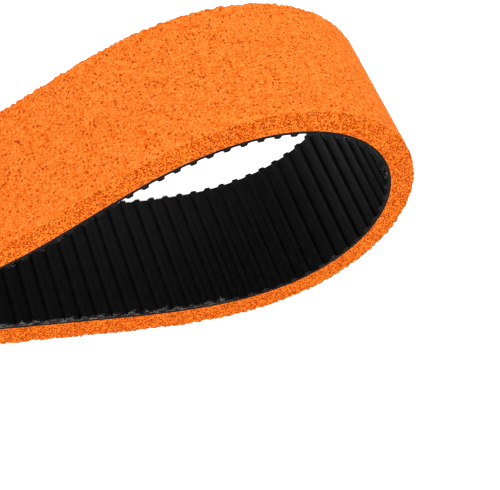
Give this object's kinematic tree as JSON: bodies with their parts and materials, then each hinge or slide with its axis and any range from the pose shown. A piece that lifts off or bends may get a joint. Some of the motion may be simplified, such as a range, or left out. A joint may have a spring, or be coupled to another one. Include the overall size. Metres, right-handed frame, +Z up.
{
  "type": "toothed drive belt with cellular rubber cover",
  "caption": "Endless toothed drive belt with a thick orange cellular rubber cover bonded to its back, lying on its lower run with the upper run sagging at the waist.",
  "frame": {"origin": "on the surface that the belt lies on, below the middle of the straight lower run and midway across the belt's width", "axes": "+X along the lower run, +Y across the belt's width, +Z up"},
  "size_m": [0.605, 0.0888, 0.1784],
  "materials": {
    "cellular_rubber": "matte open-cell sponge with small dark pores",
    "splice_adhesive": "satin rubber adhesive",
    "bond_film": "satin rubber adhesive",
    "belt_rubber": "matte moulded rubber",
    "nylon_facing": "matte woven nylon bonded over the teeth",
    "glass_cord": "pale frayed glass fibre"
  },
  "bodies": {
    "root": {"foam_cover": "cellular_rubber", "cover_splice": "splice_adhesive", "bond_film": "bond_film", "back_rubber": "belt_rubber", "tooth_rubber": "belt_rubber", "tooth_facing": "nylon_facing", "tension_cords": "glass_cord", "edge_cord_front": "glass_cord", "edge_cord_back": "glass_cord"}
  },
  "joints": []
}
